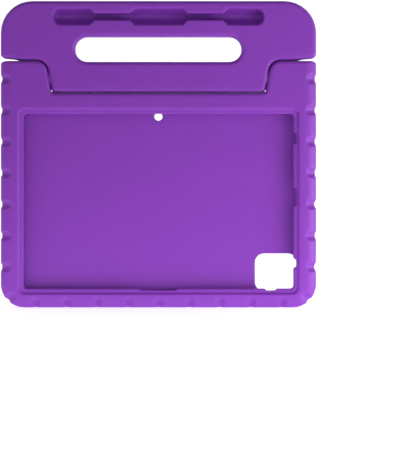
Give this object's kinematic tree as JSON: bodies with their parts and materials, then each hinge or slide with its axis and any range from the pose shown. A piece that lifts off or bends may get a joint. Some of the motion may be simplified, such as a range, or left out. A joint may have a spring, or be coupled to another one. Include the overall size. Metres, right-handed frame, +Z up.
{
  "type": "kids tablet case",
  "caption": "Purple foam tablet case for children with a folding carry handle, pen slot and scooped edges, empty.",
  "frame": {"origin": "middle of the bottom edge on which the case stands, under the middle of its thickness", "axes": "+X to the right seen from the front, +Y to the back, +Z up along the case towards the handle"},
  "size_m": [0.284, 0.0258, 0.276],
  "materials": {
    "foam": "matte moulded closed-cell foam",
    "hinge_plastic": "satin moulded plastic"
  },
  "bodies": {
    "shell": {"case_shell": "foam", "hinge_socket_left": "hinge_plastic", "hinge_socket_right": "hinge_plastic"},
    "handle": {"carry_handle": "foam", "hinge_pin_left": "hinge_plastic", "hinge_pin_right": "hinge_plastic"}
  },
  "joints": [
    {"name": "handle_fold", "type": "hinge", "parent": "shell", "child": "handle", "pos_m": [0, -0.0004, 0.206], "axis": [-1, 0, 0], "range_deg": [-2, 105]}
  ]
}
